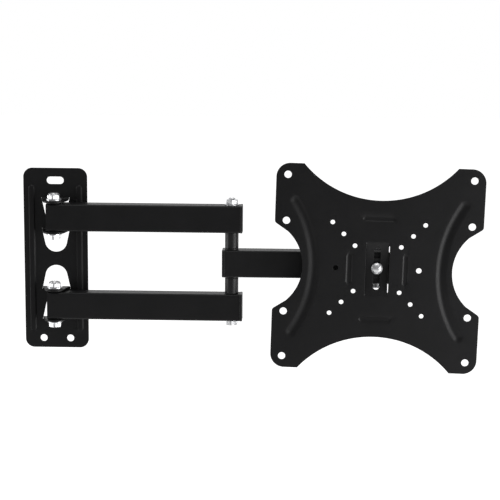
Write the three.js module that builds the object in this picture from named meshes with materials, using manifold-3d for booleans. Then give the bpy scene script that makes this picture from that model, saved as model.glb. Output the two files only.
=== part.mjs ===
// Full motion wall mount for a small television: a wall plate with four bent ears, a pair of long
// rectangular tube arms, a short arm between them, and a pressed television plate that swivels, levels
// and tilts on the end. Millimetres. +X runs along the stretched arms, +Y into the wall, +Z up.
// The origin is the middle of the wall plate's back face.

import * as THREE from 'three';
import { mergeVertices } from 'three/addons/utils/BufferGeometryUtils.js';
import Module from 'manifold-3d';

const wasm = await Module();
wasm.setup();

// Overruns, running gaps and gaps between tightened parts
const OVERRUN = 1;
const RUNNING_GAP = 0.3;
const SEAT_GAP = 0.1;
const SWING_GAP = 0.5;

// Wall plate
const WALL_WIDTH = 71;
const WALL_HEIGHT = 203;
const WALL_SHEET = 2;
const WALL_CORNER = 10;
const WALL_SLOT_LENGTH = 19;
const WALL_SLOT_WIDTH = 8.3;
const WALL_SLOT_RISE = 87.7;
const WALL_HOLE_WIDTH = 8;
const WALL_HOLE_SPACING = 30;
const WALL_HOLE_DROP = 90.8;
const WALL_BEAD_WIDTH = 7;
const WALL_BEAD_HEIGHT = 1.6;
const WALL_BEAD_SPACING = 52.8;
const WALL_BEAD_LENGTH = 166;

// Ears bent out of the wall plate
const EAR_ROOT = 31;
const EAR_END_RADIUS = 12;
const EAR_REACH = 11.6;
const EAR_BEND = 1.5;
const LANCE_GAP = 0.3;
const NEUTRAL_SHARE = 0.4;

// Width of a bead's very end, as a share of its full width
const BEAD_END_SHARE = 0.05;

// Rectangular tubes, and how far each end runs past its pivot
const TUBE_HEIGHT = 30;
const TUBE_DEPTH = 20;
const TUBE_WALL = 1.5;
const TUBE_CORNER = 2;
const ARM_SPACING = 98.5;
const LONG_ARM_LENGTH = 196.5;
const LONG_ARM_TAIL = 7.6;
const LONG_ARM_NOSE = 12;
const SHORT_ARM_LENGTH = 159;
const SHORT_ARM_TAIL = 10.5;
const SHORT_ARM_NOSE = 9;

// End caps
const LONG_CAP_LIP = 2.6;
const SHORT_CAP_LIP = 3.5;
const CAP_PROUD = 0.3;
const CAP_ROUNDING = 0.8;
const CAP_CORNER = 2.6;
const CAP_PLUG = 4.5;
const SHORT_CAP_PLUG = 1.2;
const CAP_PLUG_WALL = 1.6;

// Large fasteners at the hinges and the elbow
const BOLT_WIDTH = 8;
const BOLT_FLATS = 13;
const BOLT_HEAD = 5.3;
const BOLT_TIP = 1.9;
const LOCK_BOLT_TIP = 0.3;
const LOCK_NUT_HEIGHT = 6;
const NUT_HEIGHT = 5;
const WASHER_WIDTH = 17;
const WASHER_SHEET = 1.6;
const THIN_WASHER_WIDTH = 16;
const THIN_WASHER_SHEET = 1.2;
const FASTENER_CHAMFER = 0.8;

// Bushes pressed into the tubes
const EAR_CLEARANCE = 1.2;
const BUSH_WIDTH = 11;
const BUSH_FLANGE_WIDTH = 17;
const BUSH_INSIDE = 1;
const ELBOW_FLANGE_WIDTH = 15;
const ELBOW_FLANGE = 1.4;
const SPACER_WIDTH = 15;

// Swivel bracket behind the television plate, folded from the same sheet as the wall plate
const CLEVIS_WIDTH = 26;
const CLEVIS_BEND = 1.5;

// Clamping bolt of the head, a little above the middle of the short arm
const TILT_RISE = 0.3;
const TILT_BOLT_WIDTH = 6;
const TILT_BOLT_TIP = 0.8;
const TILT_NUT_HEIGHT = 3.6;
const TILT_NUT_FLATS = 10;
const DOME_WIDTH = 12.6;
const DOME_HEIGHT = 3.3;
const SADDLE_WIDTH = 20;
const SADDLE_LENGTH = 22;
const SADDLE_CORNER = 2;
const SADDLE_SHEET = 1.2;
const TILT_WASHER_WIDTH = 14;
const TILT_WASHER_SHEET = 1.2;

// Television plate outline
const HOLE_MARGIN = 12.5;
const TV_SHEET = 2;
const TV_CORNER = 15;
const TV_TOP_ARC = 110;
const TV_TOP_WAIST = 150;
const TV_SIDE_ARC = 51.5;
const TV_SIDE_WAIST = 162;
const TV_SIDE_ARC_REACH = 38;
const TV_LUG_REACH = 47.8;
const TV_LUG_ROUNDING = 2.5;
const TV_ROLL_DEGREES = 1.5;

// Television plate holes
const WIDE_PATTERN = 200;
const LOW_PATTERN = 100;
const WIDE_HOLE = 8;
const SMALL_PATTERNS = [100, 75, 50];
const SMALL_HOLE = 5;
const MIDDLE_HOLE = 6;
const MIDDLE_SPACING = 90;

// Curved strap pressed out of the middle of the television plate
const STRAP_WINDOW = 25.5;
const STRAP_SIDE_GAP = 0.55;
const STRAP_RADIUS = 75;
const STRAP_DEPTH = 6;
const STRAP_SLOT_WIDTH = 7;
const STRAP_SLOT_LENGTH = 46.3;

// Pressed beads of the television plate
const ARC_BEAD_RADIUS = 131;
const ARC_BEAD_SPACING = 136;
const ARC_BEAD_LENGTH = 156;
const ARC_BEAD_INNER_FLANK = 5;
const ARC_BEAD_OUTER_FLANK = 8;
const ARC_BEAD_DEPTH = 2.2;
const SHORT_BEAD_WIDTH = 7;
const SHORT_BEAD_DEPTH = 1.1;
const SHORT_BEAD_LENGTH = 36;
const SIDE_BEAD_SPACING = 60.8;
const CROSS_BEAD_SPACING = 111;

// Facets
const ROUND_STEPS = 24;
const HOLE_STEPS = 16;
const CORNER_STEPS = 4;
const ARC_STEPS = 12;
const BEND_STEPS = 4;
const FLANK_STEPS = 3;
const ARC_BEAD_STEPS = 12;
const BEAD_TAPER_STEPS = 4;
const STRAP_STEPS = 20;
const DOME_STEPS = 6;
const SADDLE_CURVE_STEPS = 96;

// Finishes
const BLACK_PAINT = { color: 0x1c1c1d, roughness: 0.45, metalness: 0.1 };
const ZINC = { color: 0xc8cacc, roughness: 0.3, metalness: 0.9 };
const BLACK_PLASTIC = { color: 0x141415, roughness: 0.55, metalness: 0 };

// Places worked out from the sizes above
const armSwing = Math.hypot(LONG_ARM_TAIL, TUBE_DEPTH / 2);
const headSwing = Math.hypot(SHORT_ARM_NOSE, TUBE_DEPTH / 2);
const pinY = -(WALL_SHEET + armSwing + SWING_GAP);
const earGap = TUBE_HEIGHT + 2 * EAR_CLEARANCE;
const elbowX = LONG_ARM_LENGTH;
const swivelX = LONG_ARM_LENGTH + SHORT_ARM_LENGTH;
const armZ = ARM_SPACING / 2;

// Depths of the head's stack, measured back from the television plate's front face
const strapBack = STRAP_DEPTH + TV_SHEET;
const saddleBack = strapBack + RUNNING_GAP + SADDLE_SHEET;
const webFront = saddleBack + RUNNING_GAP;
const webBack = webFront + WALL_SHEET;
const tiltWasherBack = webBack + RUNNING_GAP + TILT_WASHER_SHEET;
const tiltNutBack = tiltWasherBack + RUNNING_GAP + TILT_NUT_HEIGHT;
const tiltBoltBack = tiltNutBack + TILT_BOLT_TIP;
const pinDepth = tiltBoltBack + SWING_GAP + headSwing;
const plateFrontY = pinY - pinDepth;
const strapCentreDepth = STRAP_DEPTH - STRAP_RADIUS;

// Holes that bolts and bushes pass through
const boltHole = BOLT_WIDTH + 2 * RUNNING_GAP;
const bushHole = BUSH_WIDTH + 2 * SEAT_GAP;
const tiltBoltHole = TILT_BOLT_WIDTH + 2 * RUNNING_GAP;

// Width and height of the television plate, round its widest hole pattern
const tvWidth = WIDE_PATTERN + 2 * HOLE_MARGIN;

// Solids: closed meshes joined and cut with the manifold library

function toSolid(geometry) {
  const bare = geometry.index ? geometry : geometry.clone();
  bare.deleteAttribute('normal');
  bare.deleteAttribute('uv');
  const merged = mergeVertices(bare);
  return new wasm.Manifold(new wasm.Mesh({
    numProp: 3,
    vertProperties: new Float32Array(merged.attributes.position.array),
    triVerts: new Uint32Array(merged.index.array),
  }));
}

function toGeometry(solid) {
  const mesh = solid.getMesh();
  const geometry = new THREE.BufferGeometry();
  geometry.setAttribute('position', new THREE.BufferAttribute(new Float32Array(mesh.vertProperties), 3));
  geometry.setIndex(new THREE.BufferAttribute(new Uint32Array(mesh.triVerts), 1));
  geometry.computeVertexNormals();
  return geometry;
}

function join(first, ...others) {
  return others.reduce((whole, other) => whole.add(other), first);
}

function cut(first, ...others) {
  return others.reduce((whole, other) => whole.subtract(other), first);
}

// Points along an arc, from one angle to another, both in radians
function arcPoints(centreX, centreY, radius, from, to, steps) {
  return Array.from({ length: steps + 1 }, (_, step) => {
    const angle = from + (to - from) * step / steps;
    return new THREE.Vector2(centreX + radius * Math.cos(angle), centreY + radius * Math.sin(angle));
  });
}

function circlePath(x, y, width, steps = HOLE_STEPS) {
  const path = new THREE.Path(arcPoints(x, y, width / 2, 0, 2 * Math.PI, steps).slice(0, -1));
  path.closePath();
  return path;
}

// A slot with round ends, long way along X or, when upright, along Y
function slotPoints(x, y, length, width, upright = false) {
  const radius = width / 2;
  const reach = length / 2 - radius;
  const turn = upright ? Math.PI / 2 : 0;
  const across = upright ? 0 : reach;
  const along = upright ? reach : 0;
  const quarter = Math.PI / 2;
  return [
    ...arcPoints(x + across, y + along, radius, turn - quarter, turn + quarter, ARC_STEPS),
    ...arcPoints(x - across, y - along, radius, turn + quarter, turn + 3 * quarter, ARC_STEPS),
  ];
}

function roundedRectangle(width, height, radius, steps = CORNER_STEPS) {
  const quarter = Math.PI / 2;
  const x = width / 2 - radius;
  const y = height / 2 - radius;
  return [
    ...arcPoints(x, y, radius, 0, quarter, steps),
    ...arcPoints(-x, y, radius, quarter, 2 * quarter, steps),
    ...arcPoints(-x, -y, radius, 2 * quarter, 3 * quarter, steps),
    ...arcPoints(x, -y, radius, 3 * quarter, 4 * quarter, steps),
  ];
}

function extrude(outline, depth, holes = []) {
  const shape = new THREE.Shape(outline);
  shape.holes = holes;
  return new THREE.ExtrudeGeometry(shape, { depth, bevelEnabled: false });
}

// An upright sheet drawn in X and Z, from the depth y forwards by the thickness
function uprightSheet(outline, thickness, y, holes = []) {
  return toSolid(extrude(outline, thickness, holes).rotateX(Math.PI / 2).translate(0, y, 0));
}

// A bar with its section drawn in Z and Y, from one x to another
function barAlongX(section, from, to, holes = []) {
  return extrude(section, to - from, holes).rotateY(Math.PI / 2).translate(from, 0, 0);
}

// A round solid on the Z axis, from its profile of radius and height
function turned(profile, steps = ROUND_STEPS) {
  const points = profile.map(([radius, height]) => new THREE.Vector2(radius, height));
  return toSolid(new THREE.LatheGeometry(points, steps).rotateX(Math.PI / 2));
}

function rod(width, from, to, steps = ROUND_STEPS) {
  const radius = width / 2;
  return turned([[0, from], [radius, from], [radius, to], [0, to]], steps);
}

function ring(outer, bore, from, to) {
  return cut(rod(outer, from, to), rod(bore, from - OVERRUN, to + OVERRUN));
}

// Fasteners, standing on the Z axis

function hexagon(flats, from, to) {
  const corner = flats / Math.sqrt(3);
  const prism = toSolid(extrude(arcPoints(0, 0, corner, 0, 2 * Math.PI, 6).slice(0, -1), to - from)
    .translate(0, 0, from));
  const rim = corner - FASTENER_CHAMFER;
  const chamfers = turned([
    [0, from], [rim, from], [corner, from + FASTENER_CHAMFER / 2],
    [corner, to - FASTENER_CHAMFER / 2], [rim, to], [0, to],
  ]);
  return prism.intersect(chamfers);
}

// Hexagon bolt with its head's seat at one height and its tip at another
function hexBolt(width, flats, headHeight, seat, tip) {
  const radius = width / 2;
  const shank = turned([
    [0, seat - SEAT_GAP], [radius, seat - SEAT_GAP], [radius, tip - FASTENER_CHAMFER],
    [radius - FASTENER_CHAMFER, tip], [0, tip],
  ]);
  return join(hexagon(flats, seat - headHeight, seat), shank);
}

function nut(width, flats, from, to) {
  return cut(hexagon(flats, from, to), rod(width + 2 * SEAT_GAP, from - OVERRUN, to + OVERRUN));
}

// Wall plate

// A tongue narrowing from its root to a round end, drawn downwards from the root
function tonguePoints(root, radius, centreDrop) {
  const rootDistance = Math.hypot(root / 2, centreDrop);
  const tangent = Math.atan2(centreDrop, root / 2) - Math.acos(radius / rootDistance);
  return [
    new THREE.Vector2(root / 2, 0),
    new THREE.Vector2(-root / 2, 0),
    ...arcPoints(0, -centreDrop, radius, Math.PI - tangent, 2 * Math.PI + tangent, 2 * ARC_STEPS),
  ];
}

// Drop from the bend's end to the middle of an ear's round end, and the flat length of the tongue
const earCentreDrop = armSwing + SWING_GAP + EAR_REACH - EAR_END_RADIUS - EAR_BEND;
const bendLength = Math.PI / 2 * (EAR_BEND + NEUTRAL_SHARE * WALL_SHEET);
const lanceCentreDrop = earCentreDrop + bendLength;

// An ear with its flat underside at zero height, bent from the sheet above it
function ear() {
  const bendStart = -(WALL_SHEET + EAR_BEND);
  const blade = toSolid(extrude(tonguePoints(EAR_ROOT, EAR_END_RADIUS, earCentreDrop), WALL_SHEET)
    .translate(0, bendStart, 0));
  const quarter = Math.PI / 2;
  const outerRadius = EAR_BEND + WALL_SHEET;
  const bendSection = [
    ...arcPoints(0, 0, outerRadius, 0, quarter, BEND_STEPS),
    ...arcPoints(0, 0, EAR_BEND, quarter, 0, BEND_STEPS),
  ];
  const bend = toSolid(barAlongX(bendSection, -EAR_ROOT / 2, EAR_ROOT / 2)
    .translate(0, bendStart, outerRadius));
  const pinHole = rod(boltHole, -OVERRUN, WALL_SHEET + OVERRUN).translate([0, pinY, 0]);
  return cut(join(blade, bend), pinHole);
}

// The opening that an ear leaves in the plate, its top at the bend's end
function lanceCut() {
  const points = tonguePoints(EAR_ROOT + 2 * LANCE_GAP, EAR_END_RADIUS + LANCE_GAP, lanceCentreDrop);
  return uprightSheet(points, WALL_SHEET + 2 * OVERRUN, OVERRUN);
}

// Rings of a section carried along a path, closed at both ends
function sweep(stations, section) {
  const count = section.length;
  const positions = stations.flatMap(({ x, z, acrossX, acrossZ, grow }) => section.flatMap((place) => {
    const across = place.across * grow;
    return [x + across * acrossX, place.base + place.rise * grow, z + across * acrossZ];
  }));
  const sides = stations.slice(1).flatMap((_, row) => section.flatMap((__, column) => {
    const next = (column + 1) % count;
    const here = row * count;
    const there = here + count;
    return [here + column, there + next, here + next, here + column, there + column, there + next];
  }));
  const flat = section.map(({ across, base, rise }) => new THREE.Vector2(across, base + rise));
  const faces = THREE.ShapeUtils.triangulateShape(flat, []);
  const last = (stations.length - 1) * count;
  const clockwise = THREE.ShapeUtils.isClockWise(flat);
  const startFaces = faces.map(([a, b, c]) => (clockwise ? [a, c, b] : [a, b, c]));
  const endFaces = startFaces.map(([a, b, c]) => [last + c, last + b, last + a]);
  const geometry = new THREE.BufferGeometry();
  geometry.setAttribute('position', new THREE.Float32BufferAttribute(positions, 3));
  geometry.setIndex([...startFaces.flat(), ...sides, ...endFaces.flat()]);
  return toSolid(geometry);
}

// Growth of a bead along its length, from a narrow point at each end to full size
function beadGrowth(share, taperShare) {
  const fromEnd = Math.min(share, 1 - share) / taperShare;
  return fromEnd >= 1 ? 1 : Math.max(Math.sin(fromEnd * Math.PI / 2), BEAD_END_SHARE);
}

// Shares of the length at which a bead's sections stand, closer together in its tapered ends
function beadShares(taperShare, middleSteps) {
  const taper = Array.from({ length: BEAD_TAPER_STEPS }, (_, step) => taperShare * step / BEAD_TAPER_STEPS);
  const middle = Array.from({ length: middleSteps + 1 },
    (_, step) => taperShare + (1 - 2 * taperShare) * step / middleSteps);
  return [...taper, ...middle, ...taper.map((share) => 1 - share).reverse()];
}

function straightStations(length, width) {
  const taperShare = width / length;
  return beadShares(taperShare, 1).map((share) => ({
    x: 0, z: length * (share - 0.5), acrossX: 1, acrossZ: 0, grow: beadGrowth(share, taperShare),
  }));
}

// Stations up an arc whose middle is at zero, bulging to -X, with across pointing at its centre
function arcStations(length, width, radius) {
  const taperShare = width / length;
  const halfAngle = Math.asin(length / 2 / radius);
  return beadShares(taperShare, ARC_BEAD_STEPS).map((share) => {
    const angle = halfAngle * (2 * share - 1);
    return {
      x: radius * (1 - Math.cos(angle)), z: radius * Math.sin(angle),
      acrossX: Math.cos(angle), acrossZ: -Math.sin(angle), grow: beadGrowth(share, taperShare),
    };
  });
}

// One bead pressed towards +Y (or -Y) out of a sheet: the metal it pushes out and the hollow behind
function pressedBead(stations, leftFlank, rightFlank, depth, sheet) {
  const floor = Array.from({ length: 2 * FLANK_STEPS + 1 }, (_, step) => {
    const share = step / FLANK_STEPS - 1;
    const flank = share < 0 ? leftFlank : rightFlank;
    return { across: share * flank, rise: depth * (1 + Math.cos(share * Math.PI)) / 2 };
  });
  const [first, last] = [floor[0], floor[floor.length - 1]];
  const closedAt = (level) => [{ ...last, rise: 0, base: level }, { ...first, rise: 0, base: level }];
  const swelling = [...floor.map((place) => ({ ...place, base: sheet })), ...closedAt(sheet / 2)];
  const hollow = [...floor.map((place) => ({ ...place, base: 0 })), ...closedAt(-OVERRUN)];
  return { swelling: sweep(stations, swelling), hollow: sweep(stations, hollow) };
}

function press(sheetSolid, beads) {
  return cut(join(sheetSolid, ...beads.map((bead) => bead.swelling)), ...beads.map((bead) => bead.hollow));
}

function moveBead(bead, place) {
  return { swelling: place(bead.swelling), hollow: place(bead.hollow) };
}

function wallPlate() {
  const holeX = WALL_HOLE_SPACING / 2;
  const holes = [
    new THREE.Path(slotPoints(0, WALL_SLOT_RISE, WALL_SLOT_LENGTH, WALL_SLOT_WIDTH)),
    circlePath(-holeX, -WALL_HOLE_DROP, WALL_HOLE_WIDTH),
    circlePath(holeX, -WALL_HOLE_DROP, WALL_HOLE_WIDTH),
  ];
  const outline = roundedRectangle(WALL_WIDTH, WALL_HEIGHT, WALL_CORNER);
  const sheet = uprightSheet(outline, WALL_SHEET, 0, holes);
  // The beads stand out of the front face, so each is pressed backwards and then turned about Z
  const bead = pressedBead(straightStations(WALL_BEAD_LENGTH, WALL_BEAD_WIDTH),
    WALL_BEAD_WIDTH / 2, WALL_BEAD_WIDTH / 2, WALL_BEAD_HEIGHT, WALL_SHEET);
  const beads = [-1, 1].map((side) => moveBead(bead,
    (solid) => solid.rotate([0, 0, 180]).translate([side * WALL_BEAD_SPACING / 2, 0, 0])));
  const outerRadius = EAR_BEND + WALL_SHEET;
  const earHeights = [armZ + earGap / 2, armZ - earGap / 2 - WALL_SHEET];
  const openings = earHeights.map((height) => lanceCut().translate([0, 0, height + outerRadius]));
  const ears = earHeights.map((height) => ear().translate([0, 0, height]));
  const upright = (solid) => solid.mirror([0, 0, 1]);
  return join(
    cut(press(sheet, beads), ...openings, ...openings.map(upright)),
    ...ears, ...ears.map(upright),
  );
}

// Arms

function tube(from, to, bores) {
  const outer = roundedRectangle(TUBE_HEIGHT, TUBE_DEPTH, TUBE_CORNER);
  const inner = new THREE.Path(roundedRectangle(
    TUBE_HEIGHT - 2 * TUBE_WALL, TUBE_DEPTH - 2 * TUBE_WALL, TUBE_CORNER - TUBE_WALL));
  const bar = toSolid(barAlongX(outer, from, to, [inner]));
  return cut(bar, ...bores.map(({ x, width }) => rod(width, -TUBE_HEIGHT, TUBE_HEIGHT).translate([x, 0, 0])));
}

function longArm() {
  return tube(-LONG_ARM_TAIL, elbowX + LONG_ARM_NOSE - LONG_CAP_LIP, [
    { x: 0, width: bushHole },
    { x: elbowX, width: boltHole },
  ]);
}

function shortArm() {
  return tube(elbowX - SHORT_ARM_TAIL + SHORT_CAP_LIP, swivelX + SHORT_ARM_NOSE, [
    { x: elbowX, width: bushHole },
    { x: swivelX, width: bushHole },
  ]);
}

// A cap on the +X end of a tube whose end is at zero
function endCap(lip, plugLength) {
  const outline = (offset, corner) => (
    roundedRectangle(TUBE_HEIGHT + 2 * offset, TUBE_DEPTH + 2 * offset, corner));
  const face = outline(CAP_PROUD - CAP_ROUNDING, CAP_CORNER - CAP_ROUNDING);
  const head = new THREE.ExtrudeGeometry(new THREE.Shape(face), {
    depth: lip - SEAT_GAP - 2 * CAP_ROUNDING,
    bevelThickness: CAP_ROUNDING,
    bevelSize: CAP_ROUNDING,
    bevelSegments: 2,
  }).translate(0, 0, SEAT_GAP + CAP_ROUNDING);
  const plugOffset = -TUBE_WALL - SEAT_GAP;
  const hollow = new THREE.Path(outline(plugOffset - CAP_PLUG_WALL, TUBE_CORNER - TUBE_WALL));
  const plugEnd = plugLength + SEAT_GAP + CAP_ROUNDING;
  const plug = extrude(outline(plugOffset, TUBE_CORNER), plugEnd, [hollow])
    .translate(0, 0, -plugLength);
  return join(toSolid(head), toSolid(plug)).rotate([0, 90, 0]);
}

// A flanged bush in the top wall of a tube
function bush(flangeWidth, flange) {
  const face = TUBE_HEIGHT / 2 + SEAT_GAP;
  const inside = TUBE_HEIGHT / 2 - TUBE_WALL - BUSH_INSIDE;
  return cut(
    join(rod(flangeWidth, face, face + flange), rod(BUSH_WIDTH, inside, face + flange / 2)),
    rod(boltHole, 0, TUBE_HEIGHT),
  );
}

const earFlange = EAR_CLEARANCE - SEAT_GAP - RUNNING_GAP;

// Hinge fasteners, around the middle of the two ears
const earFace = earGap / 2 + WALL_SHEET;
const hingeStack = earFace + SEAT_GAP + WASHER_SHEET;

function hingeBolt() {
  const nutTop = hingeStack + SEAT_GAP + LOCK_NUT_HEIGHT;
  return hexBolt(BOLT_WIDTH, BOLT_FLATS, BOLT_HEAD, -hingeStack - SEAT_GAP, nutTop + LOCK_BOLT_TIP);
}

function hingeNut() {
  const seat = hingeStack + SEAT_GAP;
  return nut(BOLT_WIDTH, BOLT_FLATS, seat, seat + LOCK_NUT_HEIGHT);
}

function hingeWasher() {
  return ring(WASHER_WIDTH, boltHole, earFace + SEAT_GAP, hingeStack);
}

// Elbow fasteners, around the middle of the short arm
const elbowFace = armZ + TUBE_HEIGHT / 2;
const elbowWasherTop = elbowFace + SEAT_GAP + THIN_WASHER_SHEET;
const elbowNutSeat = elbowWasherTop + SEAT_GAP;

function elbowBolt() {
  const tip = elbowNutSeat + NUT_HEIGHT + BOLT_TIP;
  return hexBolt(BOLT_WIDTH, BOLT_FLATS, BOLT_HEAD, -elbowFace - SEAT_GAP, tip);
}

function elbowSpacer() {
  const bottom = TUBE_HEIGHT / 2 + SEAT_GAP + ELBOW_FLANGE + RUNNING_GAP;
  const top = armZ - TUBE_HEIGHT / 2 - SEAT_GAP;
  return ring(SPACER_WIDTH, boltHole, bottom, top);
}

// Swivel bracket: a web facing the television plate and two ears over and under the short arm

function clevis() {
  const radius = CLEVIS_WIDTH / 2;
  const outerRadius = CLEVIS_BEND + WALL_SHEET;
  const outerZ = earGap / 2 + WALL_SHEET;
  const front = plateFrontY + webFront;
  const back = pinY;
  const profile = [
    new THREE.Vector2(back + radius, -outerZ),
    ...arcPoints(front + outerRadius, -outerZ + outerRadius, outerRadius,
      1.5 * Math.PI, Math.PI, BEND_STEPS),
    ...arcPoints(front + outerRadius, outerZ - outerRadius, outerRadius,
      Math.PI, Math.PI / 2, BEND_STEPS),
    new THREE.Vector2(back + radius, outerZ),
    new THREE.Vector2(back + radius, outerZ - WALL_SHEET),
    ...arcPoints(front + outerRadius, outerZ - outerRadius, CLEVIS_BEND,
      Math.PI / 2, Math.PI, BEND_STEPS),
    ...arcPoints(front + outerRadius, -outerZ + outerRadius, CLEVIS_BEND,
      Math.PI, 1.5 * Math.PI, BEND_STEPS),
    new THREE.Vector2(back + radius, -outerZ + WALL_SHEET),
  ];
  const folded = toSolid(extrude(profile, CLEVIS_WIDTH)
    .applyMatrix4(new THREE.Matrix4().makeBasis(
      new THREE.Vector3(0, 1, 0), new THREE.Vector3(0, 0, 1), new THREE.Vector3(1, 0, 0)))
    .translate(-radius, 0, 0));
  const plan = [
    ...arcPoints(0, pinY, radius, 0, Math.PI, 2 * ARC_STEPS),
    new THREE.Vector2(-radius, front - OVERRUN),
    new THREE.Vector2(radius, front - OVERRUN),
  ];
  const planBlock = toSolid(extrude(plan, 4 * outerZ).translate(0, 0, -2 * outerZ));
  const tiltHole = laidBack(rod(tiltBoltHole, -OVERRUN, WALL_SHEET + OVERRUN))
    .translate([0, front, TILT_RISE]);
  const pinHole = rod(boltHole, -2 * outerZ, 2 * outerZ).translate([0, pinY, 0]);
  return cut(folded.intersect(planBlock), tiltHole, pinHole).translate([swivelX, 0, 0]);
}

// Head: everything below stands on the clamping bolt's axis, with its front at zero and +Y backwards

// Lays a solid from the Z axis on the Y axis
function laidBack(solid) {
  return solid.rotate([-90, 0, 0]);
}

function tiltBolt() {
  const rim = DOME_WIDTH / 2;
  const sag = STRAP_RADIUS - Math.sqrt(STRAP_RADIUS ** 2 - rim ** 2);
  const seat = STRAP_DEPTH - sag - RUNNING_GAP;
  const domeRadius = (rim ** 2 + DOME_HEIGHT ** 2) / (2 * DOME_HEIGHT);
  const reach = Math.asin(rim / domeRadius);
  const dome = arcPoints(0, 0, domeRadius, 0, reach, DOME_STEPS).map(({ x, y }) => (
    [y, seat - DOME_HEIGHT + domeRadius - x]));
  const shank = TILT_BOLT_WIDTH / 2;
  return laidBack(turned([
    ...dome, [shank, seat], [shank, tiltBoltBack - TILT_BOLT_TIP / 2],
    [shank - TILT_BOLT_TIP / 2, tiltBoltBack], [0, tiltBoltBack],
  ]));
}

// A square washer, hollow at the front to fit the strap's curved back and flat at the back
function saddle() {
  const outline = roundedRectangle(SADDLE_WIDTH, SADDLE_LENGTH, SADDLE_CORNER);
  const block = uprightSheet(outline, strapBack, saddleBack);
  const curveWidth = 2 * (STRAP_RADIUS + TV_SHEET + RUNNING_GAP);
  const curve = rod(curveWidth, -SADDLE_WIDTH, SADDLE_WIDTH, SADDLE_CURVE_STEPS)
    .rotate([0, 90, 0]).translate([0, strapCentreDepth, 0]);
  const hole = laidBack(rod(tiltBoltHole, 0, saddleBack + OVERRUN));
  return cut(block, curve, hole);
}

function tiltWasher() {
  return laidBack(ring(TILT_WASHER_WIDTH, tiltBoltHole, webBack + RUNNING_GAP, tiltWasherBack));
}

function tiltNut() {
  return laidBack(nut(TILT_BOLT_WIDTH, TILT_NUT_FLATS, tiltWasherBack + RUNNING_GAP, tiltNutBack));
}

// Television plate, with its front at zero and +Y backwards

// One quarter of the outline, from the top waist round the corner to the side waist
function quarterOutline() {
  const half = tvWidth / 2;
  const topCentre = TV_TOP_WAIST / 2 + TV_TOP_ARC;
  const topAngle = Math.acos((topCentre - half) / TV_TOP_ARC);
  const down = -Math.PI / 2;
  const sideCentre = TV_SIDE_WAIST / 2 + TV_SIDE_ARC;
  const sideAngle = Math.asin(TV_SIDE_ARC_REACH / TV_SIDE_ARC);
  const cornerCentre = half - TV_CORNER;
  const lug = new THREE.Vector2(half, TV_LUG_REACH);
  const side = arcPoints(sideCentre, 0, TV_SIDE_ARC, Math.PI - sideAngle, Math.PI, ARC_STEPS);
  const lugEdge = side[0].clone().sub(lug).setLength(TV_LUG_ROUNDING);
  return [
    ...arcPoints(0, topCentre, TV_TOP_ARC, down, down + topAngle, ARC_STEPS),
    ...arcPoints(cornerCentre, cornerCentre, TV_CORNER, Math.PI / 2, 0, CORNER_STEPS + 1),
    ...new THREE.QuadraticBezierCurve(
      lug.clone().add(new THREE.Vector2(0, TV_LUG_ROUNDING)), lug, lug.clone().add(lugEdge),
    ).getPoints(CORNER_STEPS - 1),
    ...side,
  ];
}

function plateOutline() {
  const quarter = quarterOutline();
  const inner = quarter.slice(1, -1).reverse();
  const flip = (points, x, y) => points.map((point) => new THREE.Vector2(x * point.x, y * point.y));
  return [
    ...quarter, ...flip(inner, 1, -1), ...flip(quarter, -1, -1), ...flip(inner, -1, 1),
  ];
}

function plateHoles() {
  const corners = [[-1, -1], [-1, 1], [1, -1], [1, 1]];
  const pattern = (width, height, hole) => corners.map(([x, y]) => (
    circlePath(x * width / 2, y * height / 2, hole)));
  return [
    ...pattern(WIDE_PATTERN, WIDE_PATTERN, WIDE_HOLE),
    ...pattern(WIDE_PATTERN, LOW_PATTERN, WIDE_HOLE),
    ...SMALL_PATTERNS.flatMap((spacing) => pattern(spacing, spacing, SMALL_HOLE)),
    circlePath(-MIDDLE_SPACING / 2, 0, MIDDLE_HOLE),
    circlePath(MIDDLE_SPACING / 2, 0, MIDDLE_HOLE),
  ];
}

function plateBeads() {
  const width = ARC_BEAD_INNER_FLANK + ARC_BEAD_OUTER_FLANK;
  const long = pressedBead(arcStations(ARC_BEAD_LENGTH, width, ARC_BEAD_RADIUS),
    ARC_BEAD_INNER_FLANK, ARC_BEAD_OUTER_FLANK, ARC_BEAD_DEPTH, TV_SHEET);
  const short = pressedBead(straightStations(SHORT_BEAD_LENGTH, SHORT_BEAD_WIDTH),
    SHORT_BEAD_WIDTH / 2, SHORT_BEAD_WIDTH / 2, SHORT_BEAD_DEPTH, TV_SHEET);
  return [0, 180].flatMap((turn) => [
    moveBead(long, (solid) => solid.translate([ARC_BEAD_SPACING / 2, 0, 0]).rotate([0, turn, 0])),
    moveBead(short, (solid) => solid.translate([SIDE_BEAD_SPACING / 2, 0, 0]).rotate([0, turn, 0])),
    moveBead(short, (solid) => solid.rotate([0, 90, 0]).translate([0, 0, CROSS_BEAD_SPACING / 2])
      .rotate([0, turn, 0])),
  ]);
}

// The strap is a stretch of a thin round wall, trimmed level with the plate's front
function strap() {
  const width = STRAP_WINDOW - 2 * STRAP_SIDE_GAP;
  const outer = STRAP_RADIUS + TV_SHEET;
  const reach = Math.acos((TV_SHEET - strapCentreDepth) / outer) + TV_SHEET / outer;
  const section = [
    ...arcPoints(0, 0, outer, -reach, reach, STRAP_STEPS),
    ...arcPoints(0, 0, STRAP_RADIUS, reach, -reach, STRAP_STEPS),
  ].map(({ x, y }) => new THREE.Vector2(y, x));
  const wall = toSolid(barAlongX(section, -width / 2, width / 2).translate(0, strapCentreDepth, 0));
  const trim = uprightSheet(roundedRectangle(STRAP_WINDOW, tvWidth, STRAP_SIDE_GAP), STRAP_DEPTH, 0);
  const slot = uprightSheet(slotPoints(0, 0, STRAP_SLOT_LENGTH, STRAP_SLOT_WIDTH, true),
    strapBack + 2 * OVERRUN, strapBack + OVERRUN);
  return cut(wall, trim, slot);
}

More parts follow.
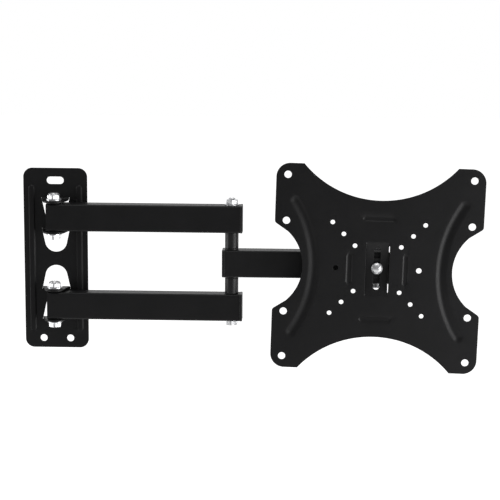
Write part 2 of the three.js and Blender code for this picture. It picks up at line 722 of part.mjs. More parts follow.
function tvPlate() {
  const windowReach = Math.sqrt(STRAP_RADIUS ** 2 - strapCentreDepth ** 2);
  const windowOutline = roundedRectangle(STRAP_WINDOW, 2 * windowReach, STRAP_SIDE_GAP, 1);
  const sheet = uprightSheet(plateOutline().reverse(), TV_SHEET, TV_SHEET, plateHoles());
  const opening = uprightSheet(windowOutline, TV_SHEET + 2 * OVERRUN, TV_SHEET + OVERRUN);
  return join(cut(press(sheet, plateBeads()), opening), strap());
}

// Assembly

function finish({ color, roughness, metalness }) {
  return new THREE.MeshStandardMaterial({ color, roughness, metalness });
}

function piece(name, solid, material, position = [0, 0, 0]) {
  const mesh = new THREE.Mesh(toGeometry(solid), finish(material));
  mesh.name = name;
  mesh.position.set(...position);
  return mesh;
}

// A piece and its mirror image, over and under the middle of a hinge
function pair(name, solid, material, position) {
  return [
    piece(`${name}_top`, solid, material, position),
    piece(`${name}_bottom`, solid.mirror([0, 0, 1]), material, position),
  ];
}

// Hinge and arm at one height of the wall plate
function armLevel(level, side) {
  const z = side * armZ;
  const elbow = [elbowX, pinY, 0];
  const spacer = side > 0 ? elbowSpacer() : elbowSpacer().mirror([0, 0, 1]);
  return [
    piece(`${level}_hinge_bolt`, hingeBolt(), ZINC, [0, pinY, z]),
    piece(`${level}_hinge_nut`, hingeNut(), ZINC, [0, pinY, z]),
    ...pair(`${level}_hinge_washer`, hingeWasher(), ZINC, [0, pinY, z]),
    ...pair(`${level}_hinge_bush`, bush(BUSH_FLANGE_WIDTH, earFlange), BLACK_PLASTIC, [0, pinY, z]),
    piece(`${level}_long_arm`, longArm(), BLACK_PAINT, [0, pinY, z]),
    piece(`${level}_arm_cap`, endCap(LONG_CAP_LIP, CAP_PLUG), BLACK_PLASTIC,
      [elbowX + LONG_ARM_NOSE - LONG_CAP_LIP, pinY, z]),
    piece(`${level}_elbow_spacer`, spacer, BLACK_PLASTIC, elbow),
  ];
}

function elbowPieces() {
  const elbow = [elbowX, pinY, 0];
  const elbowWasher = ring(THIN_WASHER_WIDTH, boltHole, elbowFace + SEAT_GAP, elbowWasherTop);
  return [
    piece('elbow_bolt', elbowBolt(), ZINC, elbow),
    piece('elbow_washer', elbowWasher, ZINC, elbow),
    piece('elbow_nut', nut(BOLT_WIDTH, BOLT_FLATS, elbowNutSeat, elbowNutSeat + NUT_HEIGHT), ZINC, elbow),
    ...pair('elbow_bush', bush(ELBOW_FLANGE_WIDTH, ELBOW_FLANGE), BLACK_PLASTIC, elbow),
  ];
}

function shortArmPieces() {
  const cap = endCap(SHORT_CAP_LIP, SHORT_CAP_PLUG).rotate([0, 0, 180]);
  return [
    piece('short_arm', shortArm(), BLACK_PAINT, [0, pinY, 0]),
    piece('short_arm_cap', cap, BLACK_PLASTIC, [elbowX - SHORT_ARM_TAIL + SHORT_CAP_LIP, pinY, 0]),
    ...pair('swivel_bush', bush(BUSH_FLANGE_WIDTH, earFlange), BLACK_PLASTIC, [swivelX, pinY, 0]),
  ];
}

function swivelPieces() {
  const swivel = [swivelX, pinY, 0];
  return [
    piece('swivel_bracket', clevis(), BLACK_PAINT),
    piece('swivel_bolt', hingeBolt(), ZINC, swivel),
    piece('swivel_nut', hingeNut(), ZINC, swivel),
    ...pair('swivel_washer', hingeWasher(), ZINC, swivel),
  ];
}

// The head hangs a little off level, turned clockwise as seen from the front
function headPieces() {
  const head = new THREE.Group();
  head.position.set(swivelX, plateFrontY, TILT_RISE);
  head.rotation.y = THREE.MathUtils.degToRad(TV_ROLL_DEGREES);
  head.add(
    piece('tv_plate', tvPlate(), BLACK_PAINT),
    piece('tilt_bolt', tiltBolt(), ZINC),
    piece('tilt_saddle', saddle(), BLACK_PAINT),
    piece('tilt_washer', tiltWasher(), ZINC),
    piece('tilt_nut', tiltNut(), ZINC),
  );
  return head;
}

const mount = new THREE.Group();
mount.add(piece('wall_plate', wallPlate(), BLACK_PAINT));
mount.add(...armLevel('upper', 1), ...armLevel('lower', -1));
mount.add(...elbowPieces(), ...shortArmPieces(), ...swivelPieces(), headPieces());

export default mount;
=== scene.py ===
import math

import bmesh
import bpy
import numpy as np
from mathutils import Matrix, Vector
from mathutils.geometry import delaunay_2d_cdt
from mathutils.kdtree import KDTree


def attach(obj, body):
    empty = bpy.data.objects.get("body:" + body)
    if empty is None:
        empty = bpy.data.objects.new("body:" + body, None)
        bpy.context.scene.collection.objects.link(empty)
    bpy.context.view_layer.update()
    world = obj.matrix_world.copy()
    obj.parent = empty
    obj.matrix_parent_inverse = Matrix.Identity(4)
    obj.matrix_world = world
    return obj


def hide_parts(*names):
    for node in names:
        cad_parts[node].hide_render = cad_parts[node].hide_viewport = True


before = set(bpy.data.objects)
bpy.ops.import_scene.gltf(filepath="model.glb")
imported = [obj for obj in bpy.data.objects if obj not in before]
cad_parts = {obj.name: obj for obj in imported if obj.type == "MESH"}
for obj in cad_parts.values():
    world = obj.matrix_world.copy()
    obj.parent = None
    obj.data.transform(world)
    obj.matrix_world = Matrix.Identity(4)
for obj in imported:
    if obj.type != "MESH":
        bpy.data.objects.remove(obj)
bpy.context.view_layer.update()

# Sizes are in millimetres until a mesh is made. X runs along the arms, Y into the wall, Z up
MM = 0.001

# Camera, from a fit to the photograph's hole patterns and edges. The focal length is a share of the
# picture's width, and the turns are in degrees
SENSOR = 36
FOCAL_SHARE = 3.4
CAMERA_TURN = -1.96
CAMERA_HEIGHT = 9.96
CAMERA_ROLL = 0.34
CAMERA_TARGET = (216.95, -25, 16.13)
CAMERA_DISTANCE = 1862.75
CAMERA_CLIP_METRES = 50

# Places shared by the pieces. HEAD_ROLL is in degrees
PIN_Y = -15.0603
PLATE_Y = -47.0139
ELBOW_X = 196.5
SWIVEL_X = 355.5
ARM_Z = 49.25
HEAD_RISE = 0.3
HEAD_ROLL = 1.5

# Folded sheet, and the ears' faces above and below an arm's middle
SHEET = 2
BEND = 1.5
BEND_OUTER = BEND + SHEET
BEND_LENGTH = math.pi / 2 * (BEND + 0.4 * SHEET)
EAR_FACE = 16.2

# Rounding of sheared sheet edges, the steps round it, and the depth from which a bead's grid is fine
EDGE = 0.35
EDGE_STEPS = 3
FORMED = 0.001

# Points round a turned piece, and the angles in degrees above which an edge stays sharp
COLUMNS = 72
CREASE = 32
FASTENER_CREASE = 25


# Material nodes. A value is a number, a colour or another node's output

def new_material(name):
    made = bpy.data.materials.new(name)
    made.use_nodes = True
    return made, made.node_tree.nodes, made.node_tree.links


def feed(links, socket, value):
    if isinstance(value, bpy.types.NodeSocket):
        links.new(value, socket)
    else:
        socket.default_value = value


def noise(nodes, links, size, detail, stretch=(1, 1, 1)):
    """Noise whose grains are about this many millimetres across"""
    place = nodes.new("ShaderNodeTexCoord")
    scale = nodes.new("ShaderNodeMapping")
    scale.inputs["Scale"].default_value = stretch
    made = nodes.new("ShaderNodeTexNoise")
    made.inputs["Scale"].default_value = 1 / (size * MM)
    made.inputs["Detail"].default_value = detail
    links.new(place.outputs["Object"], scale.inputs["Vector"])
    links.new(scale.outputs["Vector"], made.inputs["Vector"])
    return made.outputs["Fac"]


def mapped(nodes, links, value, span, low, high):
    """Maps a span of a value to the range from low to high"""
    made = nodes.new("ShaderNodeMapRange")
    for name, number in zip(("From Min", "From Max", "To Min", "To Max"), (*span, low, high)):
        made.inputs[name].default_value = number
    links.new(value, made.inputs["Value"])
    return made.outputs["Result"]


def spread(nodes, links, value, low, high):
    """Maps the middle of a noise's range to the values from low to high"""
    return mapped(nodes, links, value, (0.3, 0.7), low, high)


def tint(nodes, links, share, first, second):
    """Mixes two colours by the share of the second"""
    made = nodes.new("ShaderNodeMix")
    made.data_type = "RGBA"
    feed(links, made.inputs["A"], first)
    feed(links, made.inputs["B"], second)
    links.new(share, made.inputs["Factor"])
    return made.outputs["Result"]


def grey(level):
    return level, level, level, 1


def combined(nodes, links, operation, *values):
    made = nodes.new("ShaderNodeMath")
    made.operation = operation
    for socket, value in zip(made.inputs, values):
        feed(links, socket, value)
    return made.outputs[0]


def ray_is(nodes, links, *kinds):
    """One for rays of these kinds, and zero for others"""
    path = nodes.new("ShaderNodeLightPath")
    total = path.outputs[kinds[0]]
    for kind in kinds[1:]:
        total = combined(nodes, links, "MAXIMUM", total, path.outputs[kind])
    return total


def part_along_y(nodes, links, place):
    parts = nodes.new("ShaderNodeSeparateXYZ")
    links.new(place, parts.inputs[0])
    return parts.outputs["Y"]


# The object's materials

def bumps(nodes, links, shader, layers):
    """Stacks bumps, each on the one before: a height, its depth in millimetres and its strength"""
    below = None
    for value, depth, strength in layers:
        made = nodes.new("ShaderNodeBump")
        made.inputs["Distance"].default_value = depth * MM
        made.inputs["Strength"].default_value = strength
        links.new(value, made.inputs["Height"])
        if below is not None:
            links.new(below, made.inputs["Normal"])
        below = made.outputs["Normal"]
    links.new(below, shader.inputs["Normal"])


def dress(nodes, links, cloud, colours, dullness, roughness, layers, **values):
    """Sets up a shader whose colour follows one noise and whose roughness follows another"""
    shader = nodes["Principled BSDF"]
    for name, value in values.items():
        shader.inputs[name].default_value = value
    shade = tint(nodes, links, spread(nodes, links, cloud, 0, 1), *colours)
    links.new(shade, shader.inputs["Base Color"])
    links.new(spread(nodes, links, dullness, *roughness), shader.inputs["Roughness"])
    bumps(nodes, links, shader, layers)


def powder_coat():
    """Satin black powder coat: a fine pebbled skin over a slow orange peel"""
    made, nodes, links = new_material("powder_coat")
    pebble = noise(nodes, links, 0.45, 3)
    peel = noise(nodes, links, 2.6, 2)
    cloud = noise(nodes, links, 30, 3)
    colours = (0.0085, 0.0085, 0.009, 1), (0.0115, 0.0113, 0.012, 1)
    layers = [(peel, 0.05, 0.5), (pebble, 0.03, 0.6)]
    dress(nodes, links, cloud, colours, peel, (0.40, 0.50), layers, IOR=1.36)
    return made


def zinc():
    """Bright zinc plate: a slightly blue, cloudy mirror over fine tool marks"""
    made, nodes, links = new_material("zinc")
    cloud = noise(nodes, links, 3.5, 4)
    marks = noise(nodes, links, 0.5, 3, stretch=(1, 1, 0.35))
    colours = (0.82, 0.83, 0.85, 1), (0.92, 0.92, 0.93, 1)
    layers = [(cloud, 0.04, 0.4), (marks, 0.02, 0.5)]
    dress(nodes, links, cloud, colours, cloud, (0.22, 0.34), layers, Metallic=0.75)
    return made


def moulded_plastic():
    """Moulded black plastic, a little glossier than the paint, with the faint grain of its mould"""
    made, nodes, links = new_material("moulded_plastic")
    grain = noise(nodes, links, 0.3, 2)
    flow = noise(nodes, links, 9, 3, stretch=(0.5, 1, 1))
    colours = (0.0095, 0.0095, 0.0105, 1), (0.013, 0.013, 0.014, 1)
    layers = [(flow, 0.03, 0.3), (grain, 0.01, 0.4)]
    dress(nodes, links, flow, colours, flow, (0.34, 0.44), layers, IOR=1.5)
    return made


MATERIALS = {"black_paint": powder_coat(), "zinc": zinc(), "black_plastic": moulded_plastic()}


# Outlines, as arrays of points

CIRCLE_STEPS = 36
SLOT_END_STEPS = 16


def arc(x, y, radius, start, end, steps):
    angles = np.radians(np.linspace(start, end, steps + 1))
    return np.stack([x + radius * np.cos(angles), y + radius * np.sin(angles)], 1)


def circle(x, y, width):
    return arc(x, y, width / 2, 0, 360, CIRCLE_STEPS)[:-1]


def slot_outline(x, y, length, width, upright=False):
    reach = (length - width) / 2
    dx, dy = (0, reach) if upright else (reach, 0)
    turn = 90 if upright else 0
    return spaced(np.concatenate([
        arc(x + dx, y + dy, width / 2, turn - 90, turn + 90, SLOT_END_STEPS),
        arc(x - dx, y - dy, width / 2, turn + 90, turn + 270, SLOT_END_STEPS),
    ]), 1.2)


def spaced(loop, step):
    """Adds points along a closed outline's long edges, so that none is longer than step"""
    parts = []
    for here, there in zip(loop, np.roll(loop, -1, 0)):
        count = max(1, math.ceil(np.linalg.norm(there - here) / step))
        shares = np.arange(count)[:, None] / count
        parts.append(here + (there - here) * shares)
    return np.concatenate(parts)


def rounded_oblong(width, height, corner, steps=6):
    return np.concatenate([
        arc(x * (width / 2 - corner), y * (height / 2 - corner), corner, start, start + 90, steps)
        for x, y, start in ((1, 1, 0), (-1, 1, 90), (-1, -1, 180), (1, -1, 270))
    ])


def area(loop):
    x, y = loop.T
    return (x * np.roll(y, -1) - y * np.roll(x, -1)).sum() / 2


def wound(loop, anticlockwise=True):
    return loop if (area(loop) > 0) == anticlockwise else loop[::-1]


def inset(loop, distance):
    """Moves an outline's points to its left by a distance"""
    before = loop - np.roll(loop, 1, 0)
    after = np.roll(loop, -1, 0) - loop
    first = np.stack([-before[:, 1], before[:, 0]], 1) / np.linalg.norm(before, axis=1)[:, None]
    second = np.stack([-after[:, 1], after[:, 0]], 1) / np.linalg.norm(after, axis=1)[:, None]
    return loop + distance * (first + second) / (1 + (first * second).sum(1))[:, None]


def inside(points, loops):
    """True for each point that an odd number of the outlines go round"""
    odd = np.zeros(len(points), bool)
    for loop in loops:
        for (ax, ay), (bx, by) in zip(loop, np.roll(loop, -1, 0)):
            if ay == by:
                continue
            crosses = (points[:, 1] < ay) != (points[:, 1] < by)
            odd ^= crosses & (points[:, 0] < ax + (points[:, 1] - ay) * (bx - ax) / (by - ay))
    return odd


# Meshes. A piece is its points and its faces

def new_mesh(name, points, faces):
    mesh = bpy.data.meshes.new(name)
    mesh.from_pydata((np.asarray(points) * MM).tolist(), [], faces)
    return mesh


def new_object(name, data):
    made = bpy.data.objects.new(name, data)
    bpy.context.scene.collection.objects.link(made)
    return made


def add(node, piece, slot_name, body, crease=CREASE):
    """A smooth piece with sharp creases, riding on a body in place of a CAD node"""
    mesh = new_mesh("look_" + node, *piece)
    work = bmesh.new()
    work.from_mesh(mesh)
    bmesh.ops.remove_doubles(work, verts=work.verts, dist=1e-7)
    bmesh.ops.recalc_face_normals(work, faces=work.faces)
    work.to_mesh(mesh)
    work.free()
    mesh.shade_smooth()
    mesh.set_sharp_from_angle(angle=math.radians(crease))
    mesh.materials.append(MATERIALS[slot_name])
    made = new_object("look_" + node, mesh)
    weighted = made.modifiers.new("normals", "WEIGHTED_NORMAL")
    weighted.keep_sharp = True
    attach(made, body)
    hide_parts(node)
    return made


def hex_grid(loop, step):
    low, high = loop.min(0), loop.max(0)
    rows = np.arange(low[1], high[1], step * math.sqrt(3) / 2)
    columns = np.arange(low[0], high[0] + step, step)
    x, y = np.meshgrid(columns, rows)
    x[1::2] += step / 2
    return np.stack([x.ravel(), y.ravel()], 1)


def clear_of(points, others, distance):
    tree = KDTree(len(others))
    for i, (x, y) in enumerate(others):
        tree.insert((x, y, 0), i)
    tree.balance()
    return points[[tree.find((x, y, 0))[2] > distance for x, y in points]]


def filled(outline, rims, fine_where, fine, coarse):
    """The rims' points, then inner points: a fine grid where fine_where says so, and a coarse one
    elsewhere"""
    points = np.concatenate(rims)
    if fine_where is not None:
        grid = hex_grid(outline, fine)
        grid = grid[fine_where(grid[:, 0], grid[:, 1])]
        grid = clear_of(grid[inside(grid, rims)], points, fine * 0.6)
        points = np.concatenate([points, grid])
    grid = hex_grid(outline, coarse)
    grid = clear_of(grid[inside(grid, rims)], points, coarse * 0.55)
    return np.concatenate([points, grid])


def edge_levels(thickness):
    """Steps round a sheared edge from its front rim to its back one, each as how far it lies inside
    the outline and how deep"""
    angles = np.radians(90 * np.arange(1, EDGE_STEPS + 1) / EDGE_STEPS)
    levels = [(EDGE * (1 - math.sin(a)), EDGE * (1 - math.cos(a))) for a in angles]
    return levels + [(across, thickness - down) for across, down in reversed(levels)]


def sheet(outer, holes, thickness, place, fine_where=None, fine=1.0, coarse=4.0):
    """A pressed sheet with rounded edges. place turns flat points and their depth below the front
    face into points in space"""
    loops = [wound(outer)] + [wound(hole, False) for hole in holes]
    rims = [inset(loop, EDGE) for loop in loops]
    links, starts, start = [], [], 0
    for rim in rims:
        count = len(rim)
        links += [(start + i, start + (i + 1) % count) for i in range(count)]
        starts.append(start)
        start += count
    flat = [Vector(point) for point in filled(loops[0], rims, fine_where, fine, coarse)]
    out, _, faces, origins, _, _ = delaunay_2d_cdt(flat, links, [], 0, 1e-6)
    found = {old: new for new, olds in enumerate(origins) for old in olds}
    out = np.array([point[:] for point in out])
    faces = np.array(faces)
    faces = faces[inside(out[faces].mean(1), rims)]
    total = len(out)
    layers = [np.column_stack([out, np.zeros(total)]), np.column_stack([out, np.full(total, thickness)])]
    groups = [faces[:, ::-1] + total, faces]
    made = 2 * total
    for loop, begin in zip(loops, starts):
        count = len(loop)
        front = np.array([found[begin + i] for i in range(count)])
        rows = [front]
        for across, down in edge_levels(thickness):
            layers.append(np.column_stack([inset(loop, across), np.full(count, down)]))
            rows.append(np.arange(made, made + count))
            made += count
        rows.append(front + total)
        for upper, lower in zip(rows, rows[1:]):
            groups.append(np.stack([upper, np.roll(upper, -1), np.roll(lower, -1), lower], 1))
    return place(*np.concatenate(layers).T), [face.tolist() for group in groups for face in group]


def stacked(rings, closed=False):
    """Rings of points joined one to the next. A closed stack is hollow, and an open one has its
    ends capped"""
    count = len(rings[0])
    faces = []
    for row in range(len(rings) if closed else len(rings) - 1):
        here = row * count
        there = ((row + 1) % len(rings)) * count
        for i in range(count):
            j = (i + 1) % count
            faces.append([here + i, here + j, there + j, there + i])
    if not closed:
        faces.append(list(range(count))[::-1])
        faces.append([(len(rings) - 1) * count + i for i in range(count)])
    return np.concatenate(rings), faces


def column_angles(columns=COLUMNS):
    return 2 * math.pi * np.arange(columns) / columns


def ring_at(radius, height, columns=COLUMNS):
    """Points round the Z axis. The radius and height are numbers or arrays, one value for each column"""
    angles = column_angles(columns)
    radius = np.broadcast_to(radius, columns)
    height = np.broadcast_to(height, columns)
    return np.stack([radius * np.cos(angles), radius * np.sin(angles), height], 1)


def turned(profile, closed=False, columns=COLUMNS):
    return stacked([ring_at(radius, height, columns) for radius, height in profile], closed)


def moved(piece, x=0, y=0, z=0, flip=False):
    points, faces = piece
    points = points * (1, 1, -1) if flip else points
    return points + (x, y, z), faces


# Fasteners and bushes, standing on the Z axis. M8 and M6 are the bolts' widths, and FLATS the widths
# of their hexagons

M8, M8_FLATS, M8_HEAD, M8_HOLE = 8, 13, 5.3, 8.6
M6, M6_FLATS, M6_HOLE = 6, 10, 6.6
M8_PITCH, M6_PITCH = 1.25, 1
THREAD_STEPS = 8
HINGE_SEAT = 20
BUSH_HOLE = 11.2


def hexagon_radius(flats):
    """Distance of a hexagon's rim from its middle in each column, with its corners eased"""
    corner_ease = 0.22
    folded = (column_angles() + math.pi / 6) % (math.pi / 3) - math.pi / 6
    return np.minimum(flats / 2 / np.cos(folded), flats / math.sqrt(3) - corner_ease)


def hexagon_rings(flats, low, high):
    """Side of a hexagon with turned chamfers at both ends, from its low face to its high face"""
    face_share, slope = 0.96, 30
    rim = hexagon_radius(flats)
    face = flats / 2 * face_share
    drop = (rim - face) * math.tan(math.radians(slope))
    return [ring_at(face, low), ring_at(rim, low + drop), ring_at(rim, high - drop), ring_at(face, high)]


def thread_rings(width, pitch, low, high, chamfer):
    """A screw thread with a chamfered end at high"""
    radius = width / 2
    depth = 0.6 * pitch
    shares = column_angles() / (2 * math.pi)
    rings = []
    for height in np.linspace(low, high, math.ceil((high - low) / pitch * THREAD_STEPS) + 1):
        turn = (height / pitch - shares) % 1
        groove = np.clip(2.6 * (1 - np.abs(2 * turn - 1)) - 0.4, 0, 1)
        cone = radius - max(0, chamfer - (high - height))
        rings.append(ring_at(np.minimum(radius - depth * groove, cone), height))
    return rings


def nut_piece(width, flats, low, high):
    bore = width / 2 + 0.12
    ease = 0.45
    return stacked([
        ring_at(bore, low + ease), ring_at(bore + ease, low),
        *hexagon_rings(flats, low, high),
        ring_at(bore + ease, high), ring_at(bore, high - ease),
    ], closed=True)


def lock_nut():
    """A nut with a rolled collar on top, which grips a plastic ring round the bolt"""
    low, shoulder, top = HINGE_SEAT, HINGE_SEAT + 4.5, HINGE_SEAT + 6
    bore = 4.12
    ease = 0.45
    collar = [
        (5.95, shoulder + 0.25), (5.85, shoulder + 0.7), (5.6, shoulder + 1.1), (5.2, top - 0.12),
        (4.8, top), (4.5, top - 0.1), (4.4, top - 0.4), (bore, top - 0.6),
    ]
    return stacked([
        ring_at(bore, low + ease), ring_at(bore + ease, low), *hexagon_rings(M8_FLATS, low, shoulder),
        *[ring_at(radius, height) for radius, height in collar],
    ], closed=True)


def bolt_piece(seat, thread_from, tip):
    """An M8 bolt, with its head below its seat"""
    radius = M8 / 2
    fillet = 0.3
    return stacked([
        *hexagon_rings(M8_FLATS, seat - M8_HEAD, seat),
        ring_at(radius + fillet, seat), ring_at(radius, seat + fillet), ring_at(radius, thread_from - 0.5),
        *thread_rings(M8, M8_PITCH, thread_from, tip, chamfer=0.9),
    ])


def collar_piece(outer, bore, low, high, ease=0.22):
    """A washer or a spacer, with eased edges. outer and bore are widths"""
    rim, hole, slight = outer / 2, bore / 2, ease * 0.3
    return turned([
        (hole, low + ease), (hole + ease, low), (rim - ease, low), (rim - slight, low + slight),
        (rim, low + ease), (rim, high - ease), (rim - slight, high - slight), (rim - ease, high),
        (hole + ease, high), (hole, high - ease),
    ], closed=True)


def bush_piece(flange_width, flange):
    """A flanged bush in a tube's top wall, with a small lead-in below"""
    face, low = 15.1, 12.5
    top = face + flange
    rim, side, bore = flange_width / 2, 5.5, 4.3
    return turned([
        (bore, low + 0.3), (4.6, low), (5.2, low), (side, low + 0.4), (side, face), (rim - 0.15, face),
        (rim, face + 0.15), (rim, top - 0.4), (rim - 0.12, top - 0.14), (rim - 0.4, top),
        (4.6, top), (bore, top - 0.3),
    ], closed=True)


# Arms. A tube is given by the places of its ends, and a cap by its lip's and its plug's lengths

TUBE_HEIGHT = 30
TUBE_DEPTH = 20
TUBE_WALL = 1.5
LONG_ARM = (-7.6, 205.9)
SHORT_ARM = (189.5, 364.5)
LONG_CAP = (2.6, 4.5)
SHORT_CAP = (3.5, 1.2)


def section(x, offset, corner):
    """A rounded oblong, grown by an offset from the outside of a tube, at one place along it"""
    outline = rounded_oblong(TUBE_DEPTH + 2 * offset, TUBE_HEIGHT + 2 * offset, corner)
    return np.column_stack([np.full(len(outline), x), outline])


def tube_section(x, depth):
    """A tube's section at this depth below its outside. It keeps a small corner inside"""
    return section(x, -depth, max(2.2 - depth, 0.55))


def tube_piece(start, end):
    ease = 0.25
    slight = ease * 0.3
    places = [
        (start, ease), (start + slight, slight), (start + ease, 0),
        (end - ease, 0), (end - slight, slight), (end, ease),
        (end, TUBE_WALL - ease), (end - ease, TUBE_WALL),
        (start + ease, TUBE_WALL), (start, TUBE_WALL - ease),
    ]
    return stacked([tube_section(x, depth) for x, depth in places], closed=True)


def drill(made, holes):
    """Cuts upright round holes, given as their place along the arm and width, through a tube"""
    for x, width in holes:
        cutter_piece = turned([(width / 2, -80), (width / 2, 80)], columns=48)
        cutter = new_object("cutter", new_mesh("cutter", *moved(cutter_piece, x, PIN_Y)))
        cut = made.modifiers.new("cut", "BOOLEAN")
        cut.operation = "DIFFERENCE"
        cut.solver = "EXACT"
        cut.object = cutter
        made.modifiers.move(len(made.modifiers) - 1, 0)
        bpy.context.view_layer.update()
        with bpy.context.temp_override(object=made, active_object=made):
            bpy.ops.object.modifier_apply(modifier="cut")
        bpy.data.objects.remove(cutter)
    made.data.set_sharp_from_angle(angle=math.radians(CREASE))


def cap_piece(lip, plug):
    """An end cap, pushed into the end of a tube at zero from the +X side"""
    proud, corner, rounding = 0.3, 2.6, 0.8
    side, hollow, root = -1.6, -3.2, 0.1
    rings = [
        section(root, hollow, 0.6), section(-plug, hollow, 0.6), section(-plug, -2.2, 1.2),
        section(-plug + 0.9, side, 1.6), section(root, side, 1.6),
        section(root, proud - 0.2, corner - 0.2), section(0.3, proud, corner),
    ]
    for angle in np.radians((0, 15, 30, 45, 60, 75, 90)):
        off = rounding * (1 - math.cos(angle))
        x = lip - rounding + rounding * math.sin(angle)
        rings.append(section(x, proud - off, corner - off * 0.9))
    return stacked(rings)


hinge_bolt = bolt_piece(seat=-HINGE_SEAT, thread_from=12, tip=HINGE_SEAT + 6.3)
hinge_washer = collar_piece(outer=17, bore=M8_HOLE, low=18.3, high=19.9)
hinge_bush = bush_piece(flange_width=17, flange=0.8)
elbow_bush = bush_piece(flange_width=15, flange=1.4)
elbow_spacer = collar_piece(outer=15, bore=M8_HOLE, low=16.8, high=34.15, ease=0.4)

# Names of the upper and lower ends, and whether a piece is turned over for them
ENDS = (("top", False), ("bottom", True))

for level, height in (("upper", ARM_Z), ("lower", -ARM_Z)):
    at_pin = {"y": PIN_Y, "z": height}
    add(f"{level}_hinge_bolt", moved(hinge_bolt, **at_pin), "zinc", "wall", FASTENER_CREASE)
    add(f"{level}_hinge_nut", moved(lock_nut(), **at_pin), "zinc", "wall", FASTENER_CREASE)
    for end, flip in ENDS:
        washer = moved(hinge_washer, **at_pin, flip=flip)
        bush = moved(hinge_bush, **at_pin, flip=flip)
        add(f"{level}_hinge_washer_{end}", washer, "zinc", "wall")
        add(f"{level}_hinge_bush_{end}", bush, "black_plastic", "long_arms")
    arm = add(f"{level}_long_arm", moved(tube_piece(*LONG_ARM), **at_pin), "black_paint", "long_arms")
    drill(arm, [(0, BUSH_HOLE), (ELBOW_X, M8_HOLE)])
    cap = moved(cap_piece(*LONG_CAP), x=LONG_ARM[1], **at_pin)
    add(f"{level}_arm_cap", cap, "black_plastic", "long_arms")
    spacer = moved(elbow_spacer, ELBOW_X, PIN_Y, flip=level == "lower")
    add(f"{level}_elbow_spacer", spacer, "black_plastic", "long_arms")

elbow_bolt = bolt_piece(seat=-64.35, thread_from=55, tip=72.55)
elbow_washer = collar_piece(outer=16, bore=M8_HOLE, low=64.35, high=65.55)
elbow_nut = nut_piece(M8, M8_FLATS, low=65.65, high=70.65)
add("elbow_bolt", moved(elbow_bolt, ELBOW_X, PIN_Y), "zinc", "long_arms", FASTENER_CREASE)
add("elbow_washer", moved(elbow_washer, ELBOW_X, PIN_Y), "zinc", "long_arms")
add("elbow_nut", moved(elbow_nut, ELBOW_X, PIN_Y), "zinc", "long_arms", FASTENER_CREASE)
for end, flip in ENDS:
    at_elbow = moved(elbow_bush, ELBOW_X, PIN_Y, flip=flip)
    at_swivel = moved(hinge_bush, SWIVEL_X, PIN_Y, flip=flip)
    washer = moved(hinge_washer, SWIVEL_X, PIN_Y, flip=flip)
    add(f"elbow_bush_{end}", at_elbow, "black_plastic", "short_arm")
    add(f"swivel_bush_{end}", at_swivel, "black_plastic", "short_arm")
    add(f"swivel_washer_{end}", washer, "zinc", "swivel_head")
short_arm = add("short_arm", moved(tube_piece(*SHORT_ARM), y=PIN_Y), "black_paint", "short_arm")
drill(short_arm, [(ELBOW_X, BUSH_HOLE), (SWIVEL_X, BUSH_HOLE)])
cap_points, cap_faces = cap_piece(*SHORT_CAP)
short_cap = moved((cap_points * (-1, 1, 1), cap_faces), SHORT_ARM[0], PIN_Y)
add("short_arm_cap", short_cap, "black_plastic", "short_arm")
add("swivel_bolt", moved(hinge_bolt, SWIVEL_X, PIN_Y), "zinc", "swivel_head", FASTENER_CREASE)
add("swivel_nut", moved(lock_nut(), SWIVEL_X, PIN_Y), "zinc", "swivel_head", FASTENER_CREASE)


# Swivel bracket: a strip with round ends, drawn flat and folded twice. Its web is wider than its
# ears, and its grid is fine near the folds

EAR_RADIUS = 13
WEB_HALF = 14.2
WEB_FRONT = 9.8
BRACKET_BEND = EAR_FACE - BEND
FOLDS_FROM, FOLDS_TO = 13.7, 19.5


def fold_bracket(across, along, depth):
    """Folds the flat strip. depth runs from its outer face inwards"""
    side = np.sign(along)
    reach = np.abs(along)
    front = PLATE_Y + WEB_FRONT
    bent = np.clip((reach - BRACKET_BEND) / BEND_LENGTH, 0, 1) * math.pi / 2
    beyond = np.maximum(reach - BRACKET_BEND - BEND_LENGTH, 0)
    radius = BEND_OUTER - depth
    y = front + BEND_OUTER - radius * np.cos(bent) + beyond
    z = np.minimum(reach, BRACKET_BEND) + radius * np.sin(bent)
    return np.stack([SWIVEL_X + across, y, side * z], 1)


def near_folds(across, along):
    return (np.abs(along) > FOLDS_FROM) & (np.abs(along) < FOLDS_TO)


pin_along = BRACKET_BEND + BEND_LENGTH + PIN_Y - (PLATE_Y + WEB_FRONT + BEND_OUTER)
web_side = np.array([(EAR_RADIUS, -17.5), (WEB_HALF, -15.5), (WEB_HALF, 15.5), (EAR_RADIUS, 17.5)])
top_ear = arc(0, pin_along, EAR_RADIUS, 0, 180, 32)
bottom_ear = arc(0, -pin_along, EAR_RADIUS, 180, 360, 32)
strip = spaced(np.concatenate([top_ear, -web_side, bottom_ear, web_side]), 0.7)
strip_holes = [circle(0, pin_along, M8_HOLE), circle(0, -pin_along, M8_HOLE), circle(0, HEAD_RISE, M6_HOLE)]
bracket = sheet(strip, strip_holes, SHEET, fold_bracket, near_folds, fine=0.8, coarse=3)
add("swivel_bracket", bracket, "black_paint", "swivel_head")


# Clamp: a dome-headed bolt along the Y axis, and the pieces on it

DOME_SEAT = 5.43
SADDLE_RADIUS = 77.3
SADDLE_SHEET = 1.2
SADDLE_BACK = 9.5

# The strap swells backwards round a level axis, which lies in front of the plate
STRAP_RADIUS = 75
STRAP_CENTRE = -69


def laid_back(piece):
    """Turns a piece from the Z axis to the Y axis, with its top at the back"""
    points, faces = piece
    return points[:, [0, 2, 1]] * (1, 1, -1), faces


